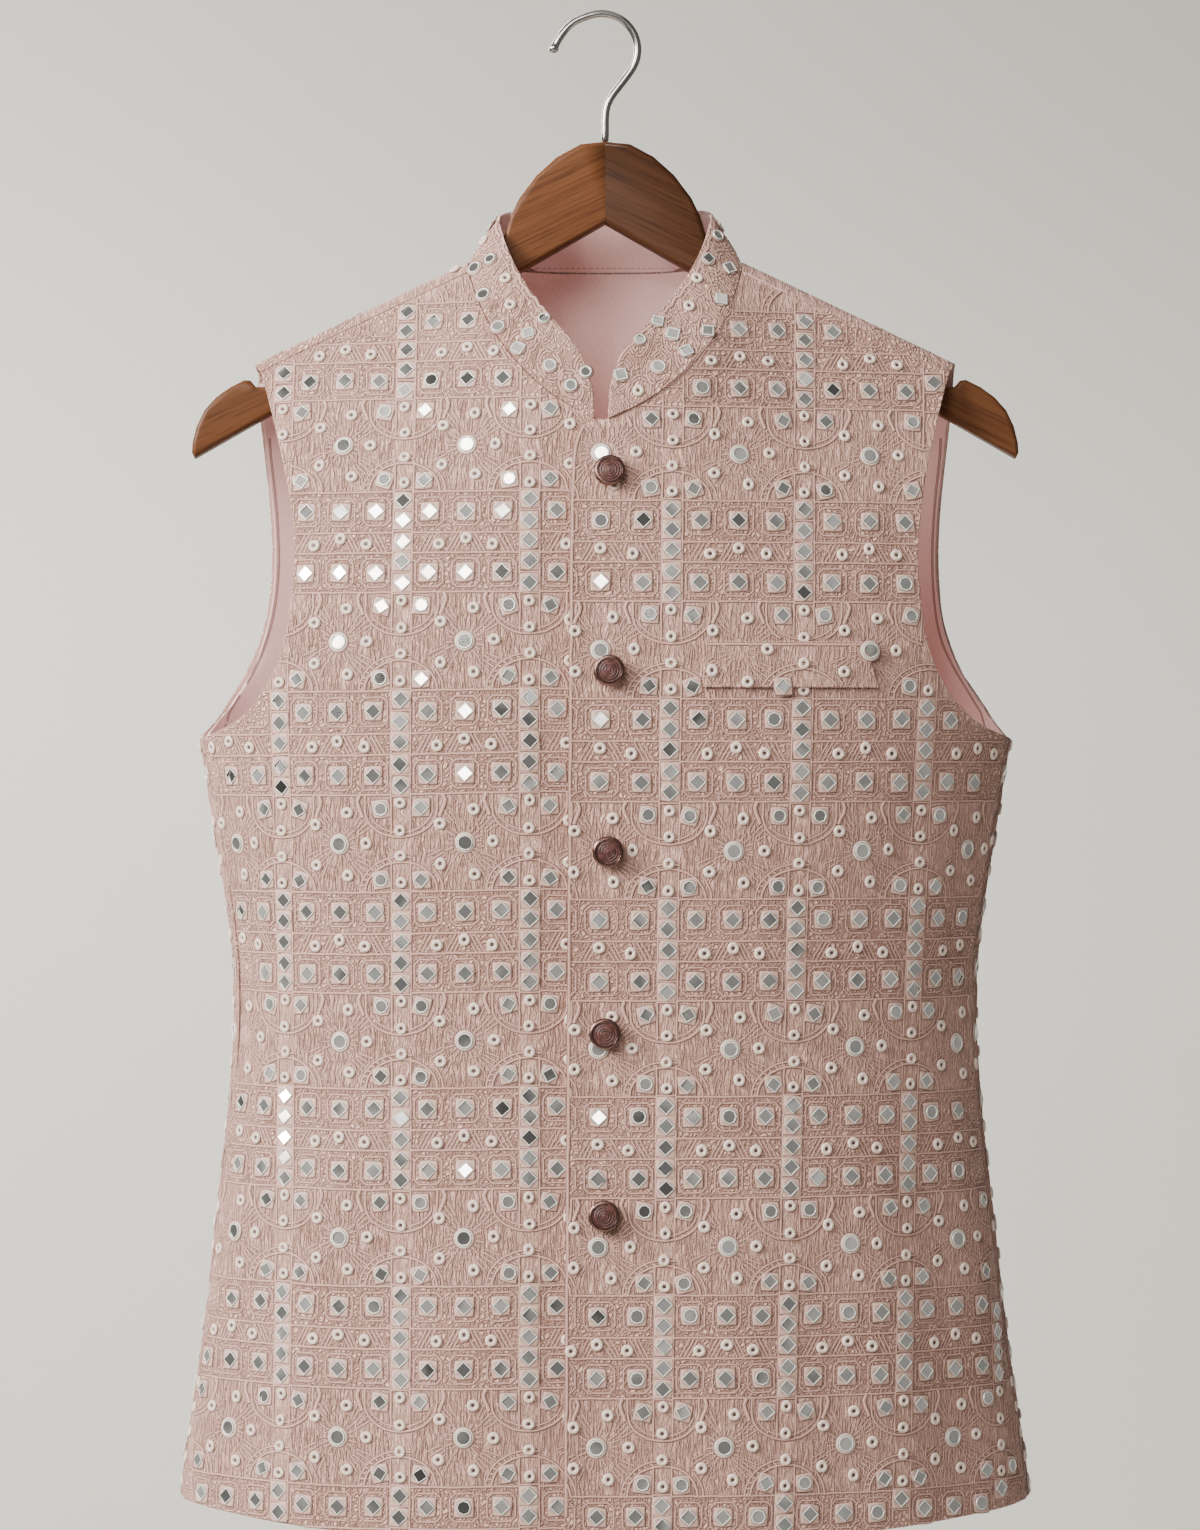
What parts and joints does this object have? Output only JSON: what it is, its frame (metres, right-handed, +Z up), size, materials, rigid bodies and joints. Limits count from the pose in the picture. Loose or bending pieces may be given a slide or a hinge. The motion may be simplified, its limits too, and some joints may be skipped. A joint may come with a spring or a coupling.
{
  "type": "nehru jacket on a wooden clothes hanger",
  "caption": "Sleeveless stand-collar jacket, buttoned down an overlapped front with a breast welt, hung on a contoured wooden hanger with a wire hook.",
  "frame": {"origin": "on the inside of the hanger hook's crest, where a peg or rail bears, in the hanger's plane", "axes": "+X to the wearer's left, -Y towards the jacket's front, +Z up"},
  "size_m": [0.4582, 0.1869, 0.8081],
  "materials": {
    "embroidered_cloth": "matt, densely stitched",
    "satin_lining": "soft sheen",
    "dark_button": "satin, with a polished rim",
    "walnut": "clear satin lacquer",
    "hook_wire": "brushed nickel"
  },
  "bodies": {
    "root": {"front_left": "embroidered_cloth", "front_right": "embroidered_cloth", "back": "embroidered_cloth", "back_lining": "satin_lining", "collar": "embroidered_cloth", "pocket_welt": "embroidered_cloth", "button_1": "dark_button", "button_2": "dark_button", "button_3": "dark_button", "button_4": "dark_button", "button_5": "dark_button", "hanger_arm_left": "walnut", "hanger_arm_right": "walnut", "hanger_hook": "hook_wire"}
  },
  "joints": []
}
